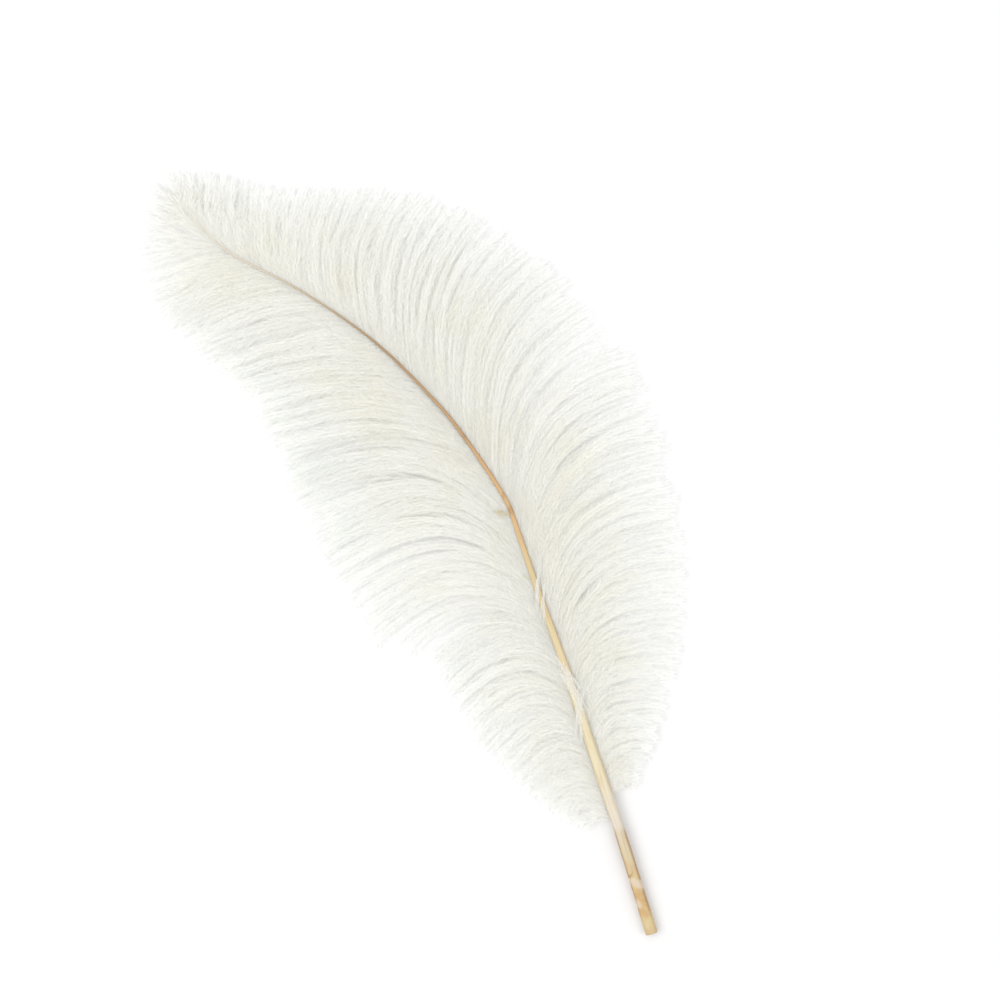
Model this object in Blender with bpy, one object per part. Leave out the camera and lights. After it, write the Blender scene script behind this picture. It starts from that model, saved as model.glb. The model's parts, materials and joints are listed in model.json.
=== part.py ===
"""Ostrich feather lying on a table: a bowed shaft with a soft vane down each side.

The shaft is one grown horn rod, round at the bare quill and squarer with a groove
underneath where it carries the vanes. Each vane is a closed, flat-bottomed pad that
reaches the tips of its barbs. Lengths are written in millimetres and turned into
metres when a mesh is made. In the working plane the butt is at (0, 0) and the
feather's chord runs along +Y; an empty moves the whole feather so that its origin
is the centre of its box, at the surface it lies on.
"""

import bmesh
import bpy
import numpy as np

MM = 0.001

# The shaft's centre line seen from above, butt to tip.
SPINE = (
    (0.0, 0.0),
    (8.9, 32.0),
    (13.6, 50.5),
    (18.3, 68.5),
    (22.6, 85.0),
    (27.5, 106.0),
    (31.5, 122.0),
    (33.9, 131.4),
    (34.9, 135.6),
    (35.2, 139.6),
    (35.3, 147.0),
    (35.0, 159.0),
    (33.5, 174.5),
    (27.6, 201.0),
    (17.4, 226.0),
    (5.0, 248.6),
    (1.8, 260.0),
    (0.0, 270.0),
)

# Pairs of a distance along the shaft from the butt, and the shaft's width or the height
# of its centre line there.
SHAFT_WIDTH = ((0, 3.9), (45, 3.5), (75, 2.7), (97, 2.2), (125, 1.75), (140, 1.4))
SHAFT_WIDTH += ((160, 1.15), (180, 0.95), (200, 0.8), (228, 0.55), (262, 0.35), (285, 0.24))
SHAFT_HEIGHT = ((0, 1.95), (50, 3.1), (100, 5.1), (160, 5.9), (220, 4.9), (285, 2.6))
EASING = 6.0
SHAFT_RINGS = 118
SHAFT_SIDES = 18
QUILL_END = 48.0
SQUARING = 40.0
SQUARENESS = 2.7
GROOVE_DEPTH = 0.17
GROOVE_HALF_WIDTH = 0.35
BORE_SHARE = 0.56
BORE_DEPTH = 6.0
BORE_TAPER = ((0.0, 1.0), (0.3, 0.96), (1.0, 0.7))

# The vanes' outer edges seen from above, from the lowest barbs to the blunt tip.
LEFT_EDGE = (
    (5.5, 36.0),
    (-2.8, 47.0),
    (-8.0, 65.0),
    (-12.0, 85.0),
    (-10.4, 103.0),
    (-10.2, 117.0),
    (-19.4, 127.0),
    (-21.2, 141.0),
    (-19.0, 160.0),
    (-16.2, 185.0),
    (-13.0, 208.0),
    (-18.6, 229.0),
    (-22.4, 247.0),
    (-17.6, 260.5),
    (-9.8, 271.0),
    (-3.8, 276.4),
)
RIGHT_EDGE = (
    (15.5, 43.0),
    (27.5, 48.5),
    (44.0, 61.0),
    (61.0, 80.0),
    (72.0, 98.0),
    (81.0, 117.0),
    (88.0, 138.0),
    (89.5, 160.0),
    (87.0, 182.0),
    (80.0, 204.0),
    (72.0, 220.0),
    (60.0, 234.0),
    (45.4, 243.8),
    (31.2, 254.0),
    (18.2, 265.2),
    (8.4, 273.8),
    (0.0, 278.2),
)
LEFT_START = 37.0
RIGHT_START = 44.0
VANE_PAST_TIP = 7.4
VANE_STATIONS = 84
VANE_COLUMNS = 9
RIM_THICKNESS = 1.4
CROWN_RISE = 1.5
CROWN_AT = 0.22
FACE_GAP = 0.3

SHAFT_COLOUR = (0.72, 0.53, 0.31, 1.0)
VANE_COLOUR = (0.87, 0.86, 0.80, 1.0)


def smooth_path(points, count):
    """A smooth curve through the points, as count points at even steps of length."""
    points = np.array(points, dtype=float)
    padded = np.vstack([2 * points[0] - points[1], points, 2 * points[-1] - points[-2]])
    share = np.linspace(0, 1, 24, endpoint=False)[:, None]
    spans = []
    for before, start, end, after in zip(padded, padded[1:], padded[2:], padded[3:]):
        linear = (end - before) * share
        square = (2 * before - 5 * start + 4 * end - after) * share**2
        cube = (3 * start - before - 3 * end + after) * share**3
        spans.append(start + 0.5 * (linear + square + cube))
    fine = np.vstack(spans + [points[-1:]])
    length = np.concatenate([[0], np.cumsum(np.linalg.norm(np.diff(fine, axis=0), axis=1))])
    even = np.linspace(0, length[-1], count)
    return np.stack([np.interp(even, length, axis) for axis in fine.T], axis=1)


def directions(path):
    """The unit direction of travel at each point of a path."""
    ahead = np.gradient(path, axis=0)
    return ahead / np.linalg.norm(ahead, axis=1, keepdims=True)


def to_left(direction):
    """The directions turned a quarter turn to the left, seen from above."""
    return np.stack([-direction[:, 1], direction[:, 0]], axis=1)


def eased(table, at):
    """A quantity read from a table of (place, value) pairs, eased between them."""
    places, values = np.array(table, dtype=float).T
    steps = np.linspace(-EASING, EASING, 7)
    samples = [np.interp(at + step, places, values) for step in steps]
    return np.mean(samples, axis=0)


def shaft_lengths(path):
    """The distance of each point of the shaft's path from the butt."""
    return np.concatenate([[0], np.cumsum(np.linalg.norm(np.diff(path, axis=0), axis=1))])


def closed_object(name, bm, colour, roughness, parent):
    """Turns a finished bmesh into a smooth-shaded object with its own material."""
    bmesh.ops.recalc_face_normals(bm, faces=bm.faces)
    mesh = bpy.data.meshes.new(name)
    bm.to_mesh(mesh)
    bm.free()
    mesh.shade_smooth()
    mesh.set_sharp_from_angle(angle=np.radians(50))
    material = bpy.data.materials.new(name)
    material.use_nodes = True
    shader = material.node_tree.nodes["Principled BSDF"]
    shader.inputs["Base Color"].default_value = colour
    shader.inputs["Roughness"].default_value = roughness
    shader.inputs["Metallic"].default_value = 0.0
    mesh.materials.append(material)
    thing = bpy.data.objects.new(name, mesh)
    thing.parent = parent
    bpy.context.collection.objects.link(thing)
    return thing


def shaft_section(width, vane_share):
    """One cross-section of the shaft: sideways and upward offsets of its outline.

    vane_share is 0 on the round quill and 1 where the shaft is squared and grooved.
    """
    angle = np.linspace(0, 2 * np.pi, SHAFT_SIDES, endpoint=False) + np.pi / SHAFT_SIDES
    power = 2 / (2 + (SQUARENESS - 2) * vane_share)
    side = np.sign(np.cos(angle)) * np.abs(np.cos(angle)) ** power
    rise = np.sign(np.sin(angle)) * np.abs(np.sin(angle)) ** power
    groove = GROOVE_DEPTH * vane_share * np.exp(-((side / GROOVE_HALF_WIDTH) ** 2)) * (rise < 0)
    return 0.5 * width * side, 0.5 * width * (rise + groove)


def add_ring(bm, centre, across, height, side, rise):
    """Adds one ring of vertices round the shaft and returns it."""
    flat = centre + np.outer(side, across)
    return [bm.verts.new((x * MM, y * MM, (height + z) * MM)) for (x, y), z in zip(flat, rise)]


def make_shaft(parent):
    """The shaft: rings from butt to tip, with a blind bore in the squarely cut butt."""
    path = smooth_path(SPINE, SHAFT_RINGS)
    along = shaft_lengths(path)
    across = -to_left(directions(path))
    width = eased(SHAFT_WIDTH, along)
    height = eased(SHAFT_HEIGHT, along)
    vane_share = np.clip((along - QUILL_END) / SQUARING, 0, 1)
    bm = bmesh.new()
    rings = []
    for centre, side_way, high, wide, share in zip(path, across, height, width, vane_share):
        side, rise = shaft_section(wide, share)
        rings.append(add_ring(bm, centre, side_way, high, side, rise))
    bore_rings = []
    forward = directions(path)[0]
    for depth_share, width_share in BORE_TAPER:
        side, rise = shaft_section(width[0] * BORE_SHARE * width_share, 0)
        centre = path[0] + depth_share * BORE_DEPTH * forward
        high = np.interp(depth_share * BORE_DEPTH, along, height)
        bore_rings.append(add_ring(bm, centre, across[0], high, side, rise))
    for near, far in zip(rings, rings[1:]):
        join_rings(bm, near, far)
    join_rings(bm, rings[0], bore_rings[0])
    for near, far in zip(bore_rings, bore_rings[1:]):
        join_rings(bm, near, far)
    bm.faces.new(bore_rings[-1])
    bm.faces.new(rings[-1])
    lowest = min(vertex.co.z for vertex in bm.verts)
    bmesh.ops.translate(bm, verts=bm.verts, vec=(0, 0, -lowest))
    return closed_object("shaft", bm, SHAFT_COLOUR, 0.38, parent)


def join_rings(bm, near, far):
    """Joins two rings of equal count with a band of four-sided faces."""
    for index, vertex in enumerate(near):
        after = (index + 1) % len(near)
        bm.faces.new((vertex, near[after], far[after], far[index]))


def inner_edge(side, start):
    """The vane's edge along the shaft and past its tip, with the shaft height there.

    side is 1 for the left vane and -1 for the right one, and start is where the vane
    begins along the shaft.
    """
    path = smooth_path(SPINE, 400)
    along = shaft_lengths(path)
    ahead = directions(path)
    clear = eased(SHAFT_WIDTH, along) / 2 + FACE_GAP
    beside = path + side * to_left(ahead) * clear[:, None]
    beyond = path[-1] + np.linspace(0.5, VANE_PAST_TIP, 12)[:, None] * ahead[-1]
    beyond = beyond + side * to_left(ahead[-1:]) * clear[-1]
    edge = np.vstack([beside[along >= start], beyond])
    height = eased(SHAFT_HEIGHT, along)[along >= start]
    height = np.concatenate([height, np.full(len(beyond), height[-1])])
    length = shaft_lengths(edge)
    even = np.linspace(0, length[-1], VANE_STATIONS)
    even_edge = np.stack([np.interp(even, length, axis) for axis in edge.T], axis=1)
    return even_edge, np.interp(even, length, height)


def vane_heights(shaft_height, share):
    """The vane's top: level with the shaft, swelling to a crown, thin at the rim."""
    swell = CROWN_RISE * np.sin(np.pi * np.clip(share / (2 * CROWN_AT), 0, 1)) ** 2
    fall = (1 - share**1.4) * (shaft_height - RIM_THICKNESS)
    return RIM_THICKNESS + fall + swell * (share < 2 * CROWN_AT)


def make_vane(name, side, start, outline, parent):
    """One vane: a crowned top over a flat underside, between the shaft and its edge."""
    inner, shaft_height = inner_edge(side, start)
    outer = smooth_path(outline, VANE_STATIONS)
    share = np.linspace(0, 1, VANE_COLUMNS)
    bm = bmesh.new()
    top = []
    under = []
    for near, far, high in zip(inner, outer, shaft_height):
        flat = near + np.outer(share, far - near)
        tops = vane_heights(high, share)
        top.append([bm.verts.new((x * MM, y * MM, z * MM)) for (x, y), z in zip(flat, tops)])
        under.append([bm.verts.new((x * MM, y * MM, 0)) for x, y in (flat[0], flat[-1])])
    for row, after in zip(top, top[1:]):
        for column in range(VANE_COLUMNS - 1):
            bm.faces.new((row[column], row[column + 1], after[column + 1], after[column]))
    for index in range(VANE_STATIONS - 1):
        row, after = under[index], under[index + 1]
        bm.faces.new((row[0], row[1], after[1], after[0]))
        bm.faces.new((row[0], after[0], top[index + 1][0], top[index][0]))
        bm.faces.new((row[1], after[1], top[index + 1][-1], top[index][-1]))
    bm.faces.new([under[0][0]] + top[0] + [under[0][1]])
    bm.faces.new([under[-1][0]] + top[-1] + [under[-1][1]])
    return closed_object(name, bm, VANE_COLOUR, 0.85, parent)


def centre_over_origin(root, things):
    """Moves the feather so that its box is centred over the origin, at the surface."""
    corners = np.array([vertex.co for thing in things for vertex in thing.data.vertices])
    middle = (corners.min(axis=0) + corners.max(axis=0)) / 2
    root.location = (-middle[0], -middle[1], -corners[:, 2].min())


def main():
    """Clears the scene and models the feather."""
    for thing in list(bpy.data.objects):
        bpy.data.objects.remove(thing, do_unlink=True)
    root = bpy.data.objects.new("feather", None)
    bpy.context.collection.objects.link(root)
    things = [
        make_shaft(root),
        make_vane("left_vane", 1, LEFT_START, LEFT_EDGE, root),
        make_vane("right_vane", -1, RIGHT_START, RIGHT_EDGE, root),
    ]
    centre_over_origin(root, things)
    bpy.context.view_layer.update()


main()
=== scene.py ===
"""The looks of an ostrich plume lying on a pale table.

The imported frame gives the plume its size: the shaft's centre line and thickness are
measured from slices of the CAD shaft, and the barbs grow out of it until they leave
the outline of the two CAD vanes. The plume's own pieces are a finely shaped shaft,
the barbs of each vane in five stretches, and a little loose down.
"""

import json
import logging
from dataclasses import dataclass, field
from enum import Enum
from typing import Any

import bpy
import numpy as np
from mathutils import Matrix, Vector
from mathutils.bvhtree import BVHTree

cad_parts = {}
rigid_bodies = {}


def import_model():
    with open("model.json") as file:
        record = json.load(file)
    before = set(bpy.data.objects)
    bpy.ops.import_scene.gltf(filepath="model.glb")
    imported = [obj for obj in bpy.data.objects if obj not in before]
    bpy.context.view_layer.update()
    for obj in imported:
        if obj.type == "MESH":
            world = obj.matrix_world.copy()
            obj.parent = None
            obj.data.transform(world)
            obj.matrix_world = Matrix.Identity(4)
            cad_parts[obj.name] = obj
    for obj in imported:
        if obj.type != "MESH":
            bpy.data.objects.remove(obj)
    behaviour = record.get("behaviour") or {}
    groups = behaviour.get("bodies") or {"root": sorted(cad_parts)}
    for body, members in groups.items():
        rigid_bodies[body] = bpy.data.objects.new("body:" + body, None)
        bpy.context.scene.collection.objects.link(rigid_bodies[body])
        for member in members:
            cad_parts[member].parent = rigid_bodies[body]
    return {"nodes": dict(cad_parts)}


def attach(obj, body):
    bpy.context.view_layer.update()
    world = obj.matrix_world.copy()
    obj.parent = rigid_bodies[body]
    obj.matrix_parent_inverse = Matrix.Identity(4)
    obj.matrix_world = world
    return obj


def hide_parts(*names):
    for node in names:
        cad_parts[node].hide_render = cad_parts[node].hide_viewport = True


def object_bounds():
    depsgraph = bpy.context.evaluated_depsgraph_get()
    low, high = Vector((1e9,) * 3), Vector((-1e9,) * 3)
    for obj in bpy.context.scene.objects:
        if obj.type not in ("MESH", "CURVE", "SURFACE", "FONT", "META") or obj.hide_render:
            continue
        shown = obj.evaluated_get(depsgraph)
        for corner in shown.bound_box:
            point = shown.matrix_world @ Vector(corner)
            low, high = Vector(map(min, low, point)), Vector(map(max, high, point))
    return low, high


LOG = logging.getLogger("plume")
MM = 0.001
UP = np.array([0.0, 0.0, 1.0])
BAKE_MAP = "OFBake"
STRAND = "strand"
Colour = tuple[float, float, float]
Stops = list[tuple[float, Colour]]
Table = tuple[tuple[float, float], ...]


class Side(Enum):
    """The side of the shaft that a vane grows from, seen with the tip ahead."""

    LEFT = 1
    RIGHT = -1


# ---------------------------------------------------------------- small maths


def unit(vectors: np.ndarray) -> np.ndarray:
    """Each vector divided by its own length."""
    return vectors / np.maximum(np.linalg.norm(vectors, axis=-1, keepdims=True), 1e-12)


def ease(low: float, high: float, value: np.ndarray) -> np.ndarray:
    """0 below low, 1 above high, and 3x^2 - 2x^3 of the share x between them."""
    share = np.clip((value - low) / (high - low), 0, 1)
    return share * share * (3 - 2 * share)


def along_rows(paths: np.ndarray, row: np.ndarray, share: np.ndarray) -> np.ndarray:
    """Points on many paths at once, each read a share of the way along its own row.

    Args:
        paths: Points of shape (rows, steps, axes), at even steps of the share.
        row: The row that each point is read from.
        share: How far along that row, from 0 to 1.

    Returns:
        The points in between the steps, by straight lines.
    """
    place = np.clip(share, 0, 1) * (paths.shape[1] - 1)
    low = np.minimum(place.astype(int), paths.shape[1] - 2)
    part = (place - low)[..., None]
    return paths[row, low] * (1 - part) + paths[row, low + 1] * part


def mesh_object(
    name: str, points: np.ndarray, faces: list[np.ndarray], maps: list[np.ndarray], smooth: bool
) -> bpy.types.Object:
    """Makes one mesh object from whole arrays.

    Args:
        name: The piece's name.
        points: Vertex places in metres, shape (n, 3).
        faces: Arrays of vertex numbers, each of shape (faces, corners).
        maps: For each array of faces, its corners' places on the bake map.
        smooth: Whether the faces are shaded smooth.

    Returns:
        The object, linked to the scene.
    """
    corners = np.concatenate([part.ravel() for part in faces])
    sizes = np.concatenate([np.full(len(part), part.shape[1]) for part in faces])
    starts = np.concatenate([[0], np.cumsum(sizes)[:-1]])
    mesh = bpy.data.meshes.new(name)
    mesh.vertices.add(len(points))
    mesh.vertices.foreach_set("co", points.astype(np.float32).ravel())
    mesh.loops.add(len(corners))
    mesh.loops.foreach_set("vertex_index", corners.astype(np.int32))
    mesh.polygons.add(len(starts))
    mesh.polygons.foreach_set("loop_start", starts.astype(np.int32))
    mesh.update(calc_edges=True)
    layer = mesh.uv_layers.new(name=BAKE_MAP)
    places = np.concatenate([part.reshape(-1, 2) for part in maps])
    layer.uv.foreach_set("vector", places.astype(np.float32).ravel())
    if smooth:
        mesh.shade_smooth()
    piece = bpy.data.objects.new(name, mesh)
    bpy.context.scene.collection.objects.link(piece)
    return piece


def set_strand(piece: bpy.types.Object, values: np.ndarray) -> None:
    """Writes the per-vertex vector that the finishes read: see each builder."""
    layer = piece.data.attributes.new(STRAND, "FLOAT_VECTOR", "POINT")
    layer.data.foreach_set("vector", values.astype(np.float32).ravel())


# ------------------------------------------------------------------- shading


class Value:
    """A shader socket that takes part in Python arithmetic.

    Each operator adds one Math node, so an expression reads as a formula.
    """

    def __init__(self, bench: "Bench", socket: bpy.types.NodeSocket) -> None:
        """Wraps one output socket of the bench's material."""
        self.bench = bench
        self.socket = socket

    def _math(self, operation: str, *terms: Any) -> "Value":
        """Adds a Math node for the operation on the terms."""
        return self.bench.add("ShaderNodeMath", {"operation": operation}, dict(enumerate(terms)))

    def __add__(self, other: Any) -> "Value":
        """The sum."""
        return self._math("ADD", self, other)

    def __radd__(self, other: Any) -> "Value":
        """The sum, with a number on the left."""
        return self._math("ADD", other, self)

    def __sub__(self, other: Any) -> "Value":
        """The difference."""
        return self._math("SUBTRACT", self, other)

    def __rsub__(self, other: Any) -> "Value":
        """The difference, with a number on the left."""
        return self._math("SUBTRACT", other, self)

    def __mul__(self, other: Any) -> "Value":
        """The product."""
        return self._math("MULTIPLY", self, other)

    def __rmul__(self, other: Any) -> "Value":
        """The product, with a number on the left."""
        return self._math("MULTIPLY", other, self)

    def cosine(self) -> "Value":
        """The cosine, in radians."""
        return self._math("COSINE", self)

    def size(self) -> "Value":
        """The value without its sign."""
        return self._math("ABSOLUTE", self)

    def band(self, low: float, high: float) -> "Value":
        """0 at low and 1 at high, eased between; low may be the larger."""
        settings = {"interpolation_type": "SMOOTHSTEP"}
        sockets = {"Value": self, "From Min": low, "From Max": high}
        return self.bench.add("ShaderNodeMapRange", settings, sockets)


class Bench:
    """One material's node tree and the few ways of adding to it."""

    def __init__(self, name: str) -> None:
        """Starts an empty material.

        Args:
            name: The material's name.
        """
        self.material = bpy.data.materials.new(name)
        self.material.use_nodes = True
        self.tree = self.material.node_tree
        self.tree.nodes.clear()
        self.sheet = self.tree.nodes.new("ShaderNodeOutputMaterial")

    def add(
        self, kind: str, settings: dict[str, Any], sockets: dict[Any, Any], out: Any = 0
    ) -> Value:
        """Adds a node: its settings first, then its sockets' values or links.

        Args:
            kind: The node's type.
            settings: Properties of the node; a list of stops fills a colour ramp.
            sockets: Socket names or numbers, and the value or Value for each.
            out: The output socket that is handed back.

        Returns:
            The output, wrapped.
        """
        node = self.tree.nodes.new(kind)
        for key, value in settings.items():
            if key == "stops":
                self._fill_ramp(node.color_ramp, value)
            else:
                setattr(node, key, value)
        for key, value in sockets.items():
            if isinstance(value, Value):
                self.tree.links.new(value.socket, node.inputs[key])
            else:
                node.inputs[key].default_value = value
        return Value(self, node.outputs[out])

    @staticmethod
    def _fill_ramp(ramp: bpy.types.ColorRamp, stops: Stops) -> None:
        """Gives a ramp its stops.

        Args:
            ramp: The node's ramp, with fewer stops than it needs.
            stops: Pairs of a place and a colour.
        """
        while len(ramp.elements) < len(stops):
            ramp.elements.new(1.0)
        for element, (place, colour) in zip(ramp.elements, stops, strict=True):
            element.position = place
            element.color = (*colour, 1.0)

    def mix(self, share: Any, first: Any, second: Any, blend: str = "MIX") -> Value:
        """Mixes two colours.

        Args:
            share: How much of the second colour is taken.
            first: The first colour, as three numbers or a Value.
            second: The second colour, in the same way.
            blend: How the two are put together.

        Returns:
            The mixed colour.
        """
        settings = {"data_type": "RGBA", "blend_type": blend}
        first = (*first, 1.0) if isinstance(first, tuple) else first
        second = (*second, 1.0) if isinstance(second, tuple) else second
        return self.add("ShaderNodeMix", settings, {0: share, 6: first, 7: second}, 2)

    def ramp(self, share: Value, stops: Stops) -> Value:
        """A colour read from stops by a share."""
        return self.add("ShaderNodeValToRGB", {"stops": stops}, {"Fac": share})

    def strand(self) -> tuple[Value, Value, Value]:
        """Reads the three numbers that the piece's mesh carries at each point.

        Returns:
            The three numbers, in order.
        """
        read = self.add("ShaderNodeAttribute", {"attribute_name": STRAND}, {}, "Vector")
        parts = [self.add("ShaderNodeSeparateXYZ", {}, {0: read}, axis) for axis in range(3)]
        return parts[0], parts[1], parts[2]

    def vector(self, x: Any, y: Any, z: Any) -> Value:
        """A vector put together from three numbers."""
        return self.add("ShaderNodeCombineXYZ", {}, {0: x, 1: y, 2: z})

    def noise(self, place: Value, scale: float, detail: float = 2.0) -> Value:
        """Soft noise around 0.5 at a place."""
        sockets = {"Vector": place, "Scale": scale, "Detail": detail}
        return self.add("ShaderNodeTexNoise", {}, sockets)

    def output(self, shader: Value) -> bpy.types.Material:
        """Ends the material with its surface."""
        self.tree.links.new(shader.socket, self.sheet.inputs["Surface"])
        return self.material


@dataclass(frozen=True)
class DownFinish:
    """Ivory down: soft, matt and lit through from behind.

    The strand vector holds the barb's tone, the share of the way to its tip, and the
    share of the way out along a barbule. The tone is partly random and partly painted
    light: high, combed barbs are a little lighter and low, loose ones a little darker,
    as painted shade. Stains lie in clouds over the vane, and in streaks that follow
    single barbs. The light that comes through has one colour.
    """

    name: str = "ivory_down"
    root: Colour = (0.990, 0.982, 0.945)
    middle: Colour = (0.992, 0.989, 0.969)
    tip: Colour = (0.980, 0.987, 0.983)
    stain: Colour = (0.955, 0.922, 0.775)
    lit: Colour = (0.979, 0.977, 0.957)
    roughness: float = 0.72
    through: float = 0.5
    staining: float = 0.56
    fraying: float = 0.35
    dimmest: float = 0.975

    def make(self) -> bpy.types.Material:
        """Builds the material.

        Returns:
            The material, half a matt surface and half lit through.
        """
        bench = Bench(self.name)
        tone, reach, fray = bench.strand()
        colour = bench.ramp(reach, [(0.0, self.root), (0.22, self.middle), (0.9, self.tip)])
        place = bench.add("ShaderNodeTexCoord", {}, {}, "Object")
        cloud = bench.noise(place, 60.0, 3.0).band(0.40, 0.66)
        streak = bench.noise(bench.vector(tone * 70.0, reach * 3.0, 5.0), 1.0).band(0.42, 0.66)
        stained = cloud * (0.15 + streak * 0.75) * reach.band(0.92, 0.4) * reach.band(-0.1, 0.25)
        colour = bench.mix(stained * self.staining, colour, self.stain)
        colour = bench.mix(fray * self.fraying, colour, self.tip)
        # Painted shade mixed with random tone: a low tone dims the surface colour, and the vane
        # gives low tones to loose, low barbs, so they look shaded and high, combed ones lit.
        shade = self.dimmest + tone * (1 - self.dimmest)
        colour = bench.mix(1.0, colour, bench.vector(shade, shade, shade), "MULTIPLY")
        sockets = {"Base Color": colour, "Roughness": self.roughness, "Specular IOR Level": 0.25}
        surface = bench.add("ShaderNodeBsdfPrincipled", {}, sockets)
        glow = bench.add("ShaderNodeBsdfTranslucent", {}, {"Color": (*self.lit, 1.0)})
        return bench.output(
            bench.add("ShaderNodeMixShader", {}, {0: self.through, 1: surface, 2: glow})
        )


@dataclass(frozen=True)
class HornFinish:
    """The shaft's horn: stained at the butt, cream above, amber, then brown as it thins.

    The strand vector holds the share of the way along the shaft, the angle round it in
    turns, and 1 in the cut end's bore.
    """

    length: float
    roughness: float = 0.34
    streak: Colour = (0.50, 0.31, 0.14)
    # The colour of the crack, and of the painted shade along the shaft's sides.
    edge: Colour = (0.36, 0.19, 0.075)
    blotch: Colour = (0.58, 0.49, 0.26)
    flaked: Colour = (0.63, 0.54, 0.43)
    inside: Colour = (0.42, 0.28, 0.15)

    def bands(self) -> Stops:
        """Lists the horn's colour along the shaft, from places in millimetres.

        Returns:
            Pairs of a share of the shaft's length and a colour.
        """
        stops = (
            (0, (0.50, 0.36, 0.19)),
            (2, (0.56, 0.43, 0.23)),
            (5, (0.57, 0.44, 0.21)),
            (7, (0.51, 0.33, 0.14)),
            (13, (0.50, 0.33, 0.14)),
            (16, (0.54, 0.39, 0.19)),
            (22, (0.53, 0.41, 0.24)),
            (25, (0.55, 0.47, 0.31)),
            (33, (0.57, 0.51, 0.39)),
            (35, (0.63, 0.57, 0.48)),
            (44, (0.65, 0.59, 0.46)),
            (52, (0.66, 0.59, 0.40)),
            (74, (0.66, 0.58, 0.38)),
            (95, (0.62, 0.51, 0.30)),
            (118, (0.57, 0.46, 0.25)),
            (130, (0.58, 0.40, 0.20)),
            (137, (0.57, 0.36, 0.16)),
            (139, (0.36, 0.20, 0.08)),
            (141, (0.54, 0.36, 0.17)),
            (142.8, (0.54, 0.35, 0.165)),
            (143.8, (0.38, 0.22, 0.09)),
            (144.8, (0.54, 0.345, 0.16)),
            (152, (0.53, 0.32, 0.15)),
            (164.6, (0.43, 0.265, 0.13)),
            (165.6, (0.31, 0.17, 0.08)),
            (166.6, (0.42, 0.26, 0.13)),
            (185, (0.38, 0.24, 0.12)),
            (205, (0.32, 0.21, 0.11)),
            (226, (0.42, 0.32, 0.19)),
            (250, (0.62, 0.55, 0.42)),
            (280, (0.80, 0.77, 0.67)),
        )
        return [(place * MM / self.length, colour) for place, colour in stops]

    def make(self) -> bpy.types.Material:
        """Builds the material.

        The bands come first, then blotches on the quill, streaks along the horn, painted
        shade that darkens the shaft's sides (a little all along, much more on the quill),
        the flaked patch and scuff above the cut, and the crack. Places along the shaft are
        in millimetres.

        Returns:
            The material.
        """
        bench = Bench("shaft_horn")
        share, turn, bore = bench.strand()
        along = share * (self.length / MM)
        ragged = bench.noise(bench.vector(along * 0.35, turn * 7.0, 0.0), 1.0, 3.0)
        colour = bench.ramp(share + (ragged - 0.5) * 0.016, self.bands())
        blotches = bench.noise(bench.vector(along * 0.4, turn * 5.0, 7.0), 1.0, 3.0)
        blotched = blotches.band(0.44, 0.60) * along.band(36.0, 30.0) * 0.45
        colour = bench.mix(blotched, colour, self.blotch)
        streaks = bench.noise(bench.vector(along * 0.11, turn * 20.0, 0.0), 1.0, 5.0)
        colour = bench.mix(streaks.band(0.47, 0.72) * 0.5, colour, self.streak)
        # Painted shade: the sides of the shaft, which the overhead light reaches less, are mixed
        # towards the edge colour, a little all along and much more on the quill.
        side_shade = (turn * (2 * np.pi)).cosine().size()
        edges = (side_shade + (streaks - 0.5) * 0.3).band(0.60, 0.86)
        # The quill's stretch from 3 to 36 mm, where the painted side shade is much stronger; this
        # share scales only that painted shade.
        stained = along.band(36.0, 31.0) * along.band(3.0, 11.0)
        colour = bench.mix(edges * (0.12 + stained * 0.68), colour, self.edge)
        rough = along + (ragged - 0.5) * 4.0
        slanted = rough - (turn - 0.25) * 6.5
        flake = slanted.band(14.6, 16.4) * slanted.band(18.8, 17.4)
        flake = flake * (streaks.band(0.38, 0.58) * 0.6 + 0.3)
        scuff = rough.band(8.2, 9.6) * rough.band(12.0, 10.4) * turn.band(0.22, 0.36)
        colour = bench.mix(flake + scuff * 0.6, colour, self.flaked)
        crack = (rough - 19.6).size().band(0.7, 0.2) * turn.band(0.18, 0.34)
        colour = bench.mix(crack * 0.75, colour, self.edge)
        colour = bench.mix(bore, colour, self.inside)
        height = {"Strength": 0.35, "Distance": 0.00006, "Height": streaks + flake}
        sockets = {
            "Base Color": colour,
            "Roughness": streaks * 0.25 + flake * 0.2 + (self.roughness - 0.1),
            "Specular IOR Level": 0.5,
            "Normal": bench.add("ShaderNodeBump", {}, height),
        }
        return bench.output(bench.add("ShaderNodeBsdfPrincipled", {}, sockets))


@dataclass(frozen=True)
class TableFinish:
    """A plain, matt, near-white table top."""

    colour: Colour = (0.78, 0.78, 0.78)
    roughness: float = 0.9

    def make(self) -> bpy.types.Material:
        """Builds the material.

        Returns:
            The material.
        """
        bench = Bench("table_white")
        sockets = {"Base Color": (*self.colour, 1.0), "Roughness": self.roughness}
        return bench.output(bench.add("ShaderNodeBsdfPrincipled", {}, sockets))


# ------------------------------------------------------------ what the CAD says


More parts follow.
